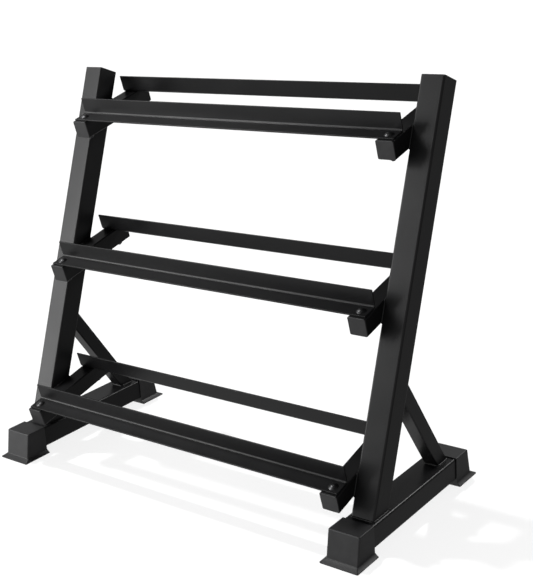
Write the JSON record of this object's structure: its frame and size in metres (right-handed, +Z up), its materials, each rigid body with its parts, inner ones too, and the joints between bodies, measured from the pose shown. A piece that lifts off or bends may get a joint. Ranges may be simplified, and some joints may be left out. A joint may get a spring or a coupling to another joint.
{
  "type": "dumbbell rack",
  "caption": "Free-standing tiered rack for dumbbells and kettlebells: leaning side frames on base tubes with paired folded angle rails bolted to forward-tilted arms.",
  "frame": {"origin": "on the floor, under the middle of the rack's overall width and depth", "axes": "+X to the right along the rails seen from the front, +Y from the front of the rack to its back, +Z up"},
  "size_m": [0.9586, 0.493, 0.8289],
  "materials": {
    "powder_coat": "satin black powder coat with a fine orange-peel texture",
    "foot_plastic": "moulded black plastic with a fine spark-eroded grain",
    "cap_plastic": "moulded black polyethylene, satin",
    "black_fasteners": "black zinc plate, semi-gloss"
  },
  "bodies": {
    "root": {"base_tube_left": "powder_coat", "base_tube_right": "powder_coat", "bottom_arm_cap_front_left": "cap_plastic", "bottom_arm_cap_front_right": "cap_plastic", "bottom_arm_cap_rear_left": "cap_plastic", "bottom_arm_cap_rear_right": "cap_plastic", "bottom_arm_left": "powder_coat", "bottom_arm_right": "powder_coat", "bottom_bolts": "black_fasteners", "bottom_nuts": "black_fasteners", "bottom_rail_front": "powder_coat", "bottom_rail_rear": "powder_coat", "bottom_washers": "black_fasteners", "foot_front_left": "foot_plastic", "foot_front_right": "foot_plastic", "foot_rear_left": "foot_plastic", "foot_rear_right": "foot_plastic", "middle_arm_cap_front_left": "cap_plastic", "middle_arm_cap_front_right": "cap_plastic", "middle_arm_cap_rear_left": "cap_plastic", "middle_arm_cap_rear_right": "cap_plastic", "middle_arm_left": "powder_coat", "middle_arm_right": "powder_coat", "middle_bolts": "black_fasteners", "middle_nuts": "black_fasteners", "middle_rail_front": "powder_coat", "middle_rail_rear": "powder_coat", "middle_washers": "black_fasteners", "strut_left": "powder_coat", "strut_right": "powder_coat", "top_arm_cap_front_left": "cap_plastic", "top_arm_cap_front_right": "cap_plastic", "top_arm_cap_rear_left": "cap_plastic", "top_arm_cap_rear_right": "cap_plastic", "top_arm_left": "powder_coat", "top_arm_right": "powder_coat", "top_bolts": "black_fasteners", "top_nuts": "black_fasteners", "top_rail_front": "powder_coat", "top_rail_rear": "powder_coat", "top_washers": "black_fasteners", "upright_left": "powder_coat", "upright_plug_left": "cap_plastic", "upright_plug_right": "cap_plastic", "upright_right": "powder_coat"}
  },
  "joints": []
}
